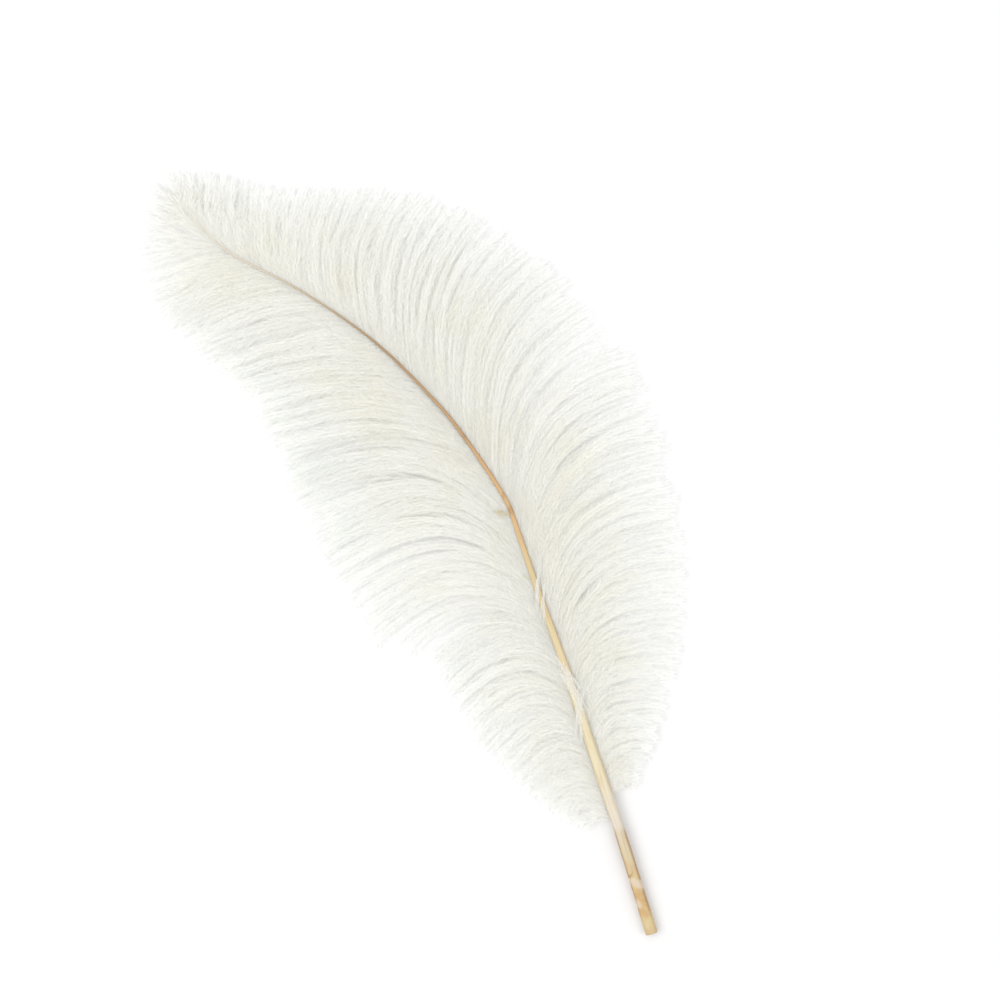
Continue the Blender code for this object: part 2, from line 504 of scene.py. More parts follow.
@dataclass
class ShaftLine:
    """The shaft's centre line and thickness, measured from slices of its CAD solid.

    The slices stop an inset short of the butt, because its square cut slants to them,
    and a third of that short of the tip. The line is drawn on straight to both ends.
    """

    node: bpy.types.Object
    slices: int = 260
    inset: float = 1.2 * MM
    drawn_on_at_butt: float = 0.62
    drawn_on_at_tip: float = 0.5
    look: float = 1.5 * MM
    places: np.ndarray = field(init=False)
    lengths: np.ndarray = field(init=False)
    widths: np.ndarray = field(init=False)

    def __post_init__(self) -> None:
        """Cuts the solid by planes across +Y and reads the middle and width of each cut."""
        starts, ends = self._edges()
        low, high = starts[:, 1].min(), starts[:, 1].max()
        cuts = np.linspace(low + self.inset, high - self.inset / 3, self.slices)
        rows = np.array([self._cut(starts, ends, cut) for cut in cuts])
        middles, spans = self._smoothed(rows[:, :3]), rows[:, 3]
        slices_in_inset = self.inset / (cuts[1] - cuts[0])
        first = middles[0] - (middles[1] - middles[0]) * slices_in_inset * self.drawn_on_at_butt
        last = middles[-1] + (middles[-1] - middles[-2]) * self.drawn_on_at_tip
        self.places = np.vstack([first, middles, last])
        steps = np.linalg.norm(np.diff(self.places, axis=0), axis=1)
        self.lengths = np.concatenate([[0], np.cumsum(steps)])
        ahead = unit(np.gradient(self.places, axis=0))
        spans = np.concatenate([spans[:1], spans, spans[-1:]])
        self.widths = spans * ahead[:, 1]

    def _edges(self) -> tuple[np.ndarray, np.ndarray]:
        """Reads the solid's triangles.

        Returns:
            The start and the end of each triangle's three edges.
        """
        mesh = self.node.data
        points = np.empty(len(mesh.vertices) * 3)
        mesh.vertices.foreach_get("co", points)
        corners = np.empty(len(mesh.loops), np.int32)
        mesh.loops.foreach_get("vertex_index", corners)
        faces = points.reshape(-1, 3)[corners].reshape(-1, 3, 3)
        return faces.reshape(-1, 3), np.roll(faces, -1, axis=1).reshape(-1, 3)

    @staticmethod
    def _cut(starts: np.ndarray, ends: np.ndarray, cut: float) -> np.ndarray:
        """Measures one cut: the edges that cross it meet it at points in between.

        Args:
            starts: The edges' starts.
            ends: The edges' ends.
            cut: The cutting plane's place along +Y.

        Returns:
            The middle of the cut's box, x, y and z, and its span along X.
        """
        crossing = (starts[:, 1] - cut) * (ends[:, 1] - cut) < 0
        first, second = starts[crossing], ends[crossing]
        share = (cut - first[:, 1]) / (second[:, 1] - first[:, 1])
        points = first + (second - first) * share[:, None]
        low, high = points.min(axis=0), points.max(axis=0)
        return np.array([*((low + high) / 2), high[0] - low[0]])

    @staticmethod
    def _smoothed(points: np.ndarray) -> np.ndarray:
        """Averages points with their neighbours, which count half as much.

        Args:
            points: Points in a row.

        Returns:
            The points, with both ends kept where they were.
        """
        padded = np.vstack([points[:1], points, points[-1:]])
        mean = (padded[:-2] + 2 * padded[1:-1] + padded[2:]) / 4
        mean[0], mean[-1] = points[0], points[-1]
        return mean

    @property
    def length(self) -> float:
        """The shaft's length along its curve, in metres."""
        return float(self.lengths[-1])

    def point(self, along: np.ndarray) -> np.ndarray:
        """Centre-line points at distances from the butt."""
        columns = [np.interp(along, self.lengths, axis) for axis in self.places.T]
        return np.stack(columns, axis=-1)

    def ahead(self, along: np.ndarray) -> np.ndarray:
        """Unit directions towards the tip at distances from the butt."""
        return unit(self.point(along + self.look) - self.point(along - self.look))

    def heading(self, along: np.ndarray) -> np.ndarray:
        """The direction towards the tip seen from above, as an angle from +X."""
        ahead = self.ahead(along)
        return np.arctan2(ahead[..., 1], ahead[..., 0])

    def half_width(self, along: np.ndarray) -> np.ndarray:
        """Half the shaft's width at distances from the butt."""
        return np.interp(along, self.lengths, self.widths) / 2


@dataclass
class VaneOutline:
    """Where one CAD vane is, seen from above, as a grid of ray casts."""

    node: bpy.types.Object
    low: Vector
    high: Vector
    pitch: float = 1.0 * MM
    covered: np.ndarray = field(init=False)

    def __post_init__(self) -> None:
        """Casts a ray down at every grid point."""
        mesh = self.node.data
        points = [vertex.co for vertex in mesh.vertices]
        tree = BVHTree.FromPolygons(points, [tuple(face.vertices) for face in mesh.polygons])
        columns = np.arange(self.low.x, self.high.x + self.pitch, self.pitch)
        rows = np.arange(self.low.y, self.high.y + self.pitch, self.pitch)
        hits = [[self._hit(tree, x, y) for y in rows] for x in columns]
        self.covered = np.array(hits, dtype=float)

    def _hit(self, tree: BVHTree, x: float, y: float) -> bool:
        """Whether a ray straight down at (x, y) meets the vane."""
        start = Vector((x, y, self.high.z + 0.01))
        return tree.ray_cast(start, Vector((0, 0, -1)))[0] is not None

    def inside(self, points: np.ndarray) -> np.ndarray:
        """Reads the grid between its points, by straight lines both ways.

        Args:
            points: Places whose last axis starts with x and y.

        Returns:
            For each place, 1 inside the outline, 0 outside it, and a share at its edge.
        """
        shape = np.array(self.covered.shape)
        place = (points[..., :2] - np.array(self.low[:2])) / self.pitch
        beyond = ((place < 0) | (place > shape - 1)).any(axis=-1)
        place = np.clip(place, 0, shape - 1.001)
        low = place.astype(int)
        part = place - low
        x, y = low[..., 0], low[..., 1]
        across, up = part[..., 0], part[..., 1]
        near = self.covered[x, y] * (1 - across) + self.covered[x + 1, y] * across
        far = self.covered[x, y + 1] * (1 - across) + self.covered[x + 1, y + 1] * across
        return np.where(beyond, 0.0, near * (1 - up) + far * up)


# --------------------------------------------------------------------- barbs


def read_table(table: Table, share: np.ndarray) -> np.ndarray:
    """Reads a table of places and values at shares, by straight lines between its rows."""
    places, values = zip(*table)
    return np.interp(share, places, values)


def towards(heading: np.ndarray) -> np.ndarray:
    """Flat unit vectors at angles from +X."""
    return np.stack([np.cos(heading), np.sin(heading)], axis=-1)


@dataclass
class Barbs:
    """Barbs as centre lines, dressed as thin stems with barbules down both sides.

    The strand vector of each vertex is the barb's tone, partly random and partly painted
    shade that darkens low, loose barbs, the share of the way to its tip, and the share
    of the way out along a barbule. A barb that is combed 1 lies high in its vane with its
    barbules swept along it, and 0 is a loose, low one. Angles are in degrees.
    """

    paths: np.ndarray
    tone: np.ndarray
    combed: np.ndarray
    random: np.random.Generator
    radius: float = 0.13 * MM
    tip_radius: float = 0.012 * MM
    sides: int = 3
    pitch: float = 0.172 * MM
    barbule_length: float | np.ndarray = 3.0 * MM
    barbule_width: float = 0.12 * MM
    barbule_swing: float = 46.0
    combed_swing: float = 14.0
    barbule_tilt: float = 24.0
    root_droop: float = 10.0
    roll: float = 1.2
    clear: float = 0.06 * MM

    @property
    def reach(self) -> np.ndarray:
        """Each barb's length along its curve."""
        return np.linalg.norm(np.diff(self.paths, axis=1), axis=2).sum(axis=1)

    def stems(self, rows: np.ndarray) -> tuple[np.ndarray, np.ndarray, np.ndarray, np.ndarray]:
        """The barbs' own stems: three-sided tubes that taper almost to a point.

        Args:
            rows: The barbs that are made.

        Returns:
            Points, faces, bake-map places of the faces' corners, and strand values.
        """
        sides = self.sides
        paths = self.paths[rows]
        count, steps = paths.shape[:2]
        ahead = unit(np.gradient(paths, axis=1))
        across = unit(np.cross(ahead, UP))
        over = np.cross(across, ahead)
        share = np.linspace(0, 1, steps)
        radius = self.radius * (1 - share) ** 0.7 + self.tip_radius
        turn = np.arange(sides) * 2 * np.pi / sides + np.pi / 2
        ring = (
            across[:, :, None, :] * np.cos(turn)[None, None, :, None]
            + over[:, :, None, :] * np.sin(turn)[None, None, :, None]
        )
        points = paths[:, :, None, :] + ring * radius[None, :, None, None]
        number = np.arange(count * steps * sides).reshape(count, steps, sides)
        near, far = number[:, :-1], number[:, 1:]
        around = np.roll(np.arange(sides), -1)
        faces = np.stack([near, near[:, :, around], far[:, :, around], far], axis=-1)
        column = (np.arange(count) + 0.5)[:, None, None, None] / count
        offset = (np.array([0, 1, 1, 0]) + np.arange(sides)[:, None] - 1.5) * 0.03 / count
        rise = np.array([0, 0, 1, 1])[None, :] + np.arange(steps - 1)[:, None]
        u = np.broadcast_to(column + offset[None, None], faces.shape)
        v = np.broadcast_to((rise / (steps - 1))[None, :, None, :], faces.shape)
        strand = np.zeros((count, steps, sides, 3))
        strand[..., 0] = self.tone[rows][:, None, None]
        strand[..., 1] = share[None, :, None]
        places = np.stack([u, v], axis=-1).reshape(-1, 4, 2)
        return points.reshape(-1, 3), faces.reshape(-1, 4), places, strand.reshape(-1, 3)

    def barbules(self, rows: np.ndarray) -> tuple[np.ndarray, np.ndarray, np.ndarray, np.ndarray]:
        """The barbules: slivers down both sides of each barb, a little closer near its tip.

        Args:
            rows: The barbs that carry them.

        Returns:
            Points, triangles, their bake-map places and strand values.
        """
        counts = np.maximum((self.reach[rows] / self.pitch).astype(int), 8)
        column = np.repeat(np.arange(len(rows)), counts)
        order = np.arange(len(column)) - np.repeat(np.cumsum(counts) - counts, counts)
        share = (order + self.random.uniform(0, 1, len(column))) / counts[column]
        share = 0.012 + 0.983 * share**0.92
        column, share = np.tile(column, 2), np.tile(share, 2)
        row = rows[column]
        count = len(row)
        hand = np.repeat([1.0, -1.0], count // 2)
        points = self._slivers(row, share, hand)
        base = np.arange(count)[:, None, None] * 4
        corners = np.array([[0, 1, 2], [1, 3, 2]])
        fray = np.array([0.0, 0.5, 0.5, 1.0])
        drift = np.array([0.0, 1.0, -1.0, 0.0]) * 0.004
        u = (column[:, None] + 0.5 + hand[:, None] * (0.05 + 0.42 * fray)) / len(rows)
        v = share[:, None] * 0.99 + 0.005 + drift
        places = np.stack([u, v], axis=-1)[:, corners]
        strand = np.zeros((count, 4, 3))
        strand[..., 0] = self.tone[row][:, None]
        strand[..., 1] = share[:, None]
        strand[..., 2] = fray
        triangles = (base + corners).reshape(-1, 3)
        return points.reshape(-1, 3), triangles, places.reshape(-1, 3, 2), strand.reshape(-1, 3)

    def _slivers(self, row: np.ndarray, share: np.ndarray, hand: np.ndarray) -> np.ndarray:
        """Two triangles for each barbule: root, two corners at its bend, and end.

        A barbule leaves at an angle to its barb, then bends towards the barb's tip and
        sags. Its sliver is turned about its own line at random, widest at the bend.
        Near the shaft it is shorter and lies flatter, which keeps the shaft uncovered.

        Args:
            row: The barb that each barbule grows from.
            share: How far along the barb it grows.
            hand: 1 for one side of the barb and -1 for the other.

        Returns:
            Points of shape (barbules, 4, 3).
        """
        random, count, combed = self.random, len(row), self.combed[row]
        root = along_rows(self.paths, row, share)
        before = along_rows(self.paths, row, share - 0.02)
        ahead = unit(along_rows(self.paths, row, share + 0.01) - before)
        outward = unit(np.cross(UP, ahead)) * hand[:, None]
        over = unit(np.cross(ahead, outward)) * hand[:, None]
        length = np.broadcast_to(self.barbule_length, len(self.paths))[row]
        length = length * random.uniform(0.6, 1.15, count) * (1.1 - 0.3 * combed)
        length = length * (0.6 + 0.4 * ease(0.0, 0.1, share))
        tilt = np.radians(random.normal(0, self.barbule_tilt, count))
        tilt = tilt * (0.2 + 0.8 * ease(0.0, 0.3, share))
        tilt = tilt - np.radians(self.root_droop) * (1 - ease(0.0, 0.2, share))
        swing = random.normal(self.barbule_swing, 9, count) - self.combed_swing * combed
        swing = np.radians(swing)
        side = outward * np.cos(tilt)[:, None] + over * np.sin(tilt)[:, None]
        first = ahead * np.cos(swing)[:, None] + side * np.sin(swing)[:, None]
        later = swing * random.uniform(0.1, 0.8, count)
        second = ahead * np.cos(later)[:, None] + side * np.sin(later)[:, None]
        second = unit(second - UP * random.uniform(0.0, 0.35, count)[:, None])
        middle = root + first * (0.5 * length)[:, None]
        end = middle + second * (0.5 * length)[:, None]
        roll = random.uniform(-self.roll, self.roll, count)
        flat = unit(np.cross(first, UP + 1e-6))
        lifted = unit(np.cross(flat, first))
        wide = flat * np.cos(roll)[:, None] + lifted * np.sin(roll)[:, None]
        wide = wide * (self.barbule_width / 2)
        points = np.stack([root, middle + wide, middle - wide, end], axis=1)
        points[..., 2] = np.maximum(points[..., 2], self.clear)
        return points

    def piece(self, name: str, rows: np.ndarray) -> bpy.types.Object:
        """Makes one mesh of some of the barbs.

        Args:
            name: The piece's name.
            rows: The barbs that it holds.

        Returns:
            The piece.
        """
        stems, stem_faces, stem_map, stem_strand = self.stems(rows)
        down, down_faces, down_map, down_strand = self.barbules(rows)
        points = np.vstack([stems, down])
        faces = [stem_faces, down_faces + len(stems)]
        piece = mesh_object(name, points, faces, [stem_map, down_map], False)
        set_strand(piece, np.vstack([stem_strand, down_strand]))
        triangles = 2 * len(stem_faces) + len(down_faces)
        LOG.info("%s: %d barbs, %d triangles", name, len(rows), triangles)
        return piece


@dataclass(frozen=True)
class VaneGrowth:
    """How the barbs of one vane leave the shaft, aim and arch, from its base to its tip.

    Each table pairs a share of the way up the vane with a value. Angles are in degrees
    from the shaft's forward direction: where a barb leaves the shaft, of the straight
    line from its root to its tip, and at its tip. A hold is how long it keeps its
    leaving direction, as a share of that straight line. The spacing along the shaft is
    in millimetres.
    """

    side: Side
    leaving: Table
    aiming: Table
    ending: Table
    hold: Table
    spacing: Table
    start: float
    seed: int


LEFT_GROWTH = VaneGrowth(
    side=Side.LEFT,
    leaving=((0.0, 40), (0.1, 24), (0.35, 20), (0.45, 28), (0.6, 36), (0.9, 36), (1.0, 8)),
    aiming=(
        *((0.0, 88), (0.08, 88), (0.2, 76), (0.35, 64)),
        *((0.45, 56), (0.6, 50), (0.9, 48), (1.0, 10)),
    ),
    ending=((0.0, 125), (0.12, 122), (0.3, 108), (0.45, 84), (0.6, 66), (0.9, 60), (1.0, 20)),
    hold=((0.0, 0.45), (0.1, 0.55), (0.35, 0.55), (0.5, 0.4), (1.0, 0.36)),
    spacing=((0.0, 0.5), (0.26, 0.52), (0.32, 0.42), (0.42, 0.42), (0.6, 0.8), (1.0, 0.8)),
    start=37.5 * MM,
    seed=3,
)
RIGHT_GROWTH = VaneGrowth(
    side=Side.RIGHT,
    leaving=((0.0, 40), (0.1, 24), (0.4, 22), (0.6, 36), (0.9, 40), (1.0, 10)),
    aiming=(
        *((0.0, 88), (0.08, 82), (0.2, 68), (0.4, 54)),
        *((0.6, 56), (0.8, 62), (0.93, 52), (1.0, 14)),
    ),
    ending=((0.0, 120), (0.12, 110), (0.4, 92), (0.7, 86), (0.9, 70), (1.0, 20)),
    hold=((0.0, 0.45), (0.1, 0.5), (0.4, 0.5), (0.6, 0.42), (1.0, 0.36)),
    spacing=((0.0, 0.55), (0.3, 0.62), (1.0, 0.7)),
    start=45.0 * MM,
    seed=4,
)


@dataclass
class Vane:
    """All the barbs of one side of the plume, in tufts of one to a few.

    Each stretch is a name and the two shares of the way up the vane that it lies between.
    Each wave of the wandering is a number of waves along the barb and a size in
    millimetres.
    """

    growth: VaneGrowth
    line: ShaftLine
    outline: VaneOutline
    end_gap: float = 1.0 * MM
    steps: int = 17
    longest: float = 110 * MM
    shortest: float = 8 * MM
    past_edge: float = 0.7 * MM
    shortfall: float = 0.13
    tuft_chance: float = 0.62
    pull: tuple[float, float] = (0.03, 0.26)
    lowest: float = 0.25 * MM
    waves: Table = ((0.8, 0.34), (1.7, 0.28), (3.4, 0.16))
    stretches: tuple[tuple[str, float, float], ...] = (
        ("base", 0.0, 0.2),
        ("lower", 0.2, 0.36),
        ("middle", 0.36, 0.52),
        ("upper", 0.52, 0.75),
        ("tip", 0.75, 1.01),
    )
    random: np.random.Generator = field(init=False)
    share: np.ndarray = field(init=False)
    along: np.ndarray = field(init=False)
    tuft: np.ndarray = field(init=False)
    combed: np.ndarray = field(init=False)
    barbs: Barbs = field(init=False)

    def __post_init__(self) -> None:
        """Grows the barbs' centre lines."""
        self.random = np.random.default_rng(self.growth.seed)
        span = self.line.length - self.end_gap - self.growth.start
        fine = np.linspace(0, 1, 1001)
        grown = np.cumsum(span / 1000 / (read_table(self.growth.spacing, fine) * MM))
        count = int(grown[-1])
        order = np.arange(count) + self.random.uniform(0.2, 0.8, count)
        self.share = np.interp(order, grown, fine)
        self.along = self.growth.start + self.share * span
        self.tuft = np.cumsum(self.random.random(count) < self.tuft_chance)
        level = self.random.random(self.tuft[-1] + 1)[self.tuft]
        self.combed = np.clip(ease(0.25, 0.75, level) + self.random.normal(0, 0.12, count), 0, 1)
        flat = self._gathered(self._curves())
        paths = np.concatenate([flat, self._heights(flat)[..., None]], axis=2) + self._wander()
        paths[..., 2] = np.maximum(paths[..., 2], self.lowest)
        # Part random tone, part painted light: combed barbs lie high and get a lighter tone, while
        # loose, low ones get a darker one, as painted shade.
        tone = 0.4 * self.random.random(count) + 0.6 * self.combed
        self.barbs = Barbs(paths, tone, self.combed, self.random)

    def _curves(self) -> np.ndarray:
        """Flat cubic Bezier curves from the shaft to the vane's edge, one for each barb.

        Returns:
            Points of shape (barbs, steps, 2).
        """
        growth, share, random = self.growth, self.share, self.random
        count = len(share)
        ahead, turn = self.line.heading(self.along), growth.side.value
        stray = random.normal(0, 1.0, count)
        stray += (random.random(count) < 0.25) * random.normal(0, 2, count)
        leaving = read_table(growth.leaving, share) + random.normal(0, 1.8, count)
        aiming = read_table(growth.aiming, share) + stray
        ending = read_table(growth.ending, share) + random.normal(0, 4, count) + stray
        leaving, aiming, ending = (
            towards(ahead + turn * np.radians(angle)) for angle in (leaving, aiming, ending)
        )
        outward = towards(ahead + turn * np.pi / 2)
        root = self.line.point(self.along)[:, :2]
        root = root + outward * (self.line.half_width(self.along) * 0.8)[:, None]
        reach = self._reaches(root, aiming)[:, None]
        hold = read_table(growth.hold, share)[:, None] * random.normal(1, 0.08, count)[:, None]
        tip = root + aiming * reach
        corners = (root, root + leaving * hold * reach, tip - ending * 0.36 * reach, tip)
        part = np.linspace(0, 1, self.steps)[None, :, None]
        rest = 1 - part
        weights = (rest**3, 3 * rest**2 * part, 3 * rest * part**2, part**3)
        return sum(weight * corner[:, None, :] for weight, corner in zip(weights, corners))

    def _reaches(self, root: np.ndarray, aiming: np.ndarray) -> np.ndarray:
        """How far each root is from the vane's edge along its aim, a little uneven.

        The edge is the last point of a ray inside the outline. The reach is the largest
        of nine neighbours, averaged over eleven, and some barbs then fall short of it.

        Args:
            root: Where each barb leaves the shaft, seen from above.
            aiming: The unit direction from there to its tip.

        Returns:
            The length of each barb, in a straight line.
        """
        length = np.linspace(0, self.longest, 221)
        ray = root[:, None, :] + aiming[:, None, :] * length[None, :, None]
        inside = self.outline.inside(ray) > 0.5
        inside[:, 0] = True
        last = inside.shape[1] - 1 - np.argmax(inside[:, ::-1], axis=1)
        windows = np.lib.stride_tricks.sliding_window_view
        reach = windows(np.pad(length[last], 4, mode="edge"), 9).max(axis=1)
        reach = windows(np.pad(reach, 5, mode="edge"), 11).mean(axis=1)
        reach = np.maximum(reach, self.shortest) + self.past_edge
        return reach * (1 - self.shortfall * self.random.random(len(root)) ** 1.5)

    def _gathered(self, flat: np.ndarray) -> np.ndarray:
        """Draws the barbs of a tuft together on their way, and lets the tips part again.

        Args:
            flat: The barbs' curves, seen from above.

        Returns:
            The same curves, each nearer to the middle of its tuft.
        """
        total = self.tuft[-1] + 1
        size = np.maximum(np.bincount(self.tuft, minlength=total), 1)
        middle = np.zeros((total, *flat.shape[1:]))
        np.add.at(middle, self.tuft, flat)
        middle = (middle / size[:, None, None])[self.tuft]
        part = np.linspace(0, 1, self.steps)
        together = ease(0.05, 0.4, part) * (1 - 0.6 * ease(0.7, 1.0, part))
        pull = self.random.uniform(*self.pull, total)[self.tuft]
        return flat + (middle - flat) * pull[:, None, None] * together[None, :, None]

    def _heights(self, flat: np.ndarray) -> np.ndarray:
        """How high each barb runs: up from the shaft, then down to rest near its tip.

        Args:
            flat: The barbs' curves, seen from above.

        Returns:
            Heights of shape (barbs, steps).
        """
        reach = np.linalg.norm(flat[:, -1] - flat[:, 0], axis=1)
        share = np.linspace(0, 1, self.steps)[None, :]
        root = self.line.point(self.along)[:, 2:3]
        count = len(flat)
        lift = (self.combed * 0.9 - 0.35 + self.random.normal(0, 0.3, count)) * MM
        lift = lift * np.clip(reach / (40 * MM), 0.2, 1)
        rest = (0.6 + self.combed * 1.0 + self.random.uniform(0, 1.2, count)) * MM
        rise = root + lift[:, None] * np.sin(np.pi / 2 * np.clip(share / 0.45, 0, 1))
        down = ease(0.2, 1.05, share)
        return rise * (1 - down) + rest[:, None] * down

    def _wander(self) -> np.ndarray:
        """Slow wandering, a sum of sine waves that grows from the root outwards.

        Returns:
            Offsets of shape (barbs, steps, 3), nearly alike within a tuft.
        """
        count = len(self.share)
        share = np.linspace(0, 1, self.steps)[None, :, None]
        tufts = self.tuft[-1] + 1
        total = np.zeros((count, self.steps, 3))
        for waves, size in self.waves:
            phase = self.random.uniform(0, 2 * np.pi, (tufts, 1, 3))[self.tuft]
            phase = phase + self.random.normal(0, 0.8, (count, 1, 3))
            total += size * MM * np.sin(2 * np.pi * waves * share + phase)
        return total * ease(0.0, 0.5, share) * np.array([1.0, 1.0, 0.4])

    def build(self, node: str, down: bpy.types.Material) -> None:
        """Builds the vane stretch by stretch, dresses it and puts it in its node's place.

        Args:
            node: The name of the CAD vane.
            down: The barbs' material.
        """
        for stretch, low, high in self.stretches:
            rows = np.flatnonzero((self.share >= low) & (self.share < high))
            piece = self.barbs.piece(f"{node}_{stretch}_barbs", rows)
            piece.data.materials.append(down)
            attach(piece, "root")
            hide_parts(node)


@dataclass(frozen=True)
class Stray:
    """A loose strand that lies across the shaft.

    Places and lengths are in millimetres: where it crosses, and how much of it lies
    before and after; a length before below zero starts it beside the shaft. The angle
    from the shaft's forward direction is in degrees, to the left positive, and so is the
    turn it makes from end to end. Its barbs cross over a spread of the shaft, with
    barbules as long as its fluff.
    """

    crossing: float
    angle: float
    before: float
    after: float
    turn: float
    barbs: int
    spread: float
    fluff: float


@dataclass
class LooseDown:
    """Down that has strayed over the shaft, and a few tan-stained wisps beside it."""

    line: ShaftLine
    steps: int = 16
    clear: float = 0.12 * MM
    sag: float = 2.4 * MM
    sag_reach: float = 14 * MM
    tone: float = 0.9
    strays: tuple[Stray, ...] = (
        Stray(73.6, -20.0, 9.0, 9.0, -12.0, 5, 4.0, 1.4),
        Stray(81.5, 12.0, 12.0, 17.0, 26.0, 11, 10.5, 1.7),
        Stray(107.8, -24.0, 6.0, 8.0, -14.0, 3, 1.8, 0.9),
        Stray(113.2, -24.0, 7.0, 9.0, -14.0, 3, 1.8, 0.9),
    )
    wisps: tuple[Stray, ...] = (
        Stray(115.4, 48.0, -0.8, 5.0, 10.0, 1, 0.0, 0.35),
        Stray(137.4, 66.0, -0.7, 7.5, 24.0, 2, 0.9, 1.0),
        Stray(138.4, 60.0, -2.4, 11.0, 26.0, 2, 0.9, 1.1),
    )

    def paths(self, strays: tuple[Stray, ...], random: np.random.Generator) -> np.ndarray:
        """Centre lines that arch over the shaft, several side by side for one stray.

        Args:
            strays: The strays, all of one piece.
            random: The piece's random numbers.

        Returns:
            Points of shape (barbs, steps, 3).
        """
        rows = [stray for stray in strays for _ in range(stray.barbs)]
        crossing, angle, before, after, turn, spread = (
            np.array([getattr(row, name) for row in rows])
            for name in ("crossing", "angle", "before", "after", "turn", "spread")
        )
        part = np.concatenate([np.linspace(-0.5, 0.5, stray.barbs) for stray in strays])
        crossing = (crossing + spread * part) * MM
        angle = np.radians(angle + random.normal(0, 4, len(rows)))
        along = np.linspace(-before, after, self.steps, axis=1) * MM
        bend = np.radians(turn)[:, None] * along / ((before + after) * MM)[:, None]
        heading = (self.line.heading(crossing) + angle)[:, None] + bend
        step = towards(heading) * (along[:, 1] - along[:, 0])[:, None, None]
        travel = np.cumsum(step, axis=1)
        middle = (np.arange(len(rows)), np.argmin(np.abs(along), axis=1))
        start = towards(heading[middle]) * along[middle][:, None]
        travel = travel - (travel[middle] - start)[:, None, :]
        flat = self.line.point(crossing)[:, None, :2] + travel
        top = self.line.point(crossing)[:, 2] + self.line.half_width(crossing) + self.clear
        sag = self.sag * ease(0.0, 1.0, np.abs(along) / self.sag_reach)
        return np.concatenate([flat, (top[:, None] - sag)[..., None]], axis=2)

    def piece(self, name: str, strays: tuple[Stray, ...], seed: int) -> bpy.types.Object:
        """Builds strays as soft, thin barbs.

        Args:
            name: The piece's name.
            strays: What it holds.
            seed: The seed of its random numbers.

        Returns:
            The piece.
        """
        random = np.random.default_rng(seed)
        paths = self.paths(strays, random)
        count = len(paths)
        combed = random.uniform(0.3, 0.8, count)
        fluff = np.repeat([stray.fluff for stray in strays], [stray.barbs for stray in strays])
        tone = np.full(count, self.tone)
        barbs = Barbs(paths, tone, combed, random, barbule_length=fluff * MM)
        return barbs.piece(name, np.arange(count))

    def build(self, down: bpy.types.Material, tan: bpy.types.Material) -> None:
        """Builds and dresses both pieces, which come on top of what the CAD has.

        Args:
            down: The white strays' material.
            tan: The stained wisps' material.
        """
        pieces = (
            (self.piece("loose_down", self.strays, 21), down),
            (self.piece("stained_down", self.wisps, 22), tan),
        )
        for piece, finish in pieces:
            piece.data.materials.append(finish)
            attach(piece, "root")


# --------------------------------------------------------------------- shaft


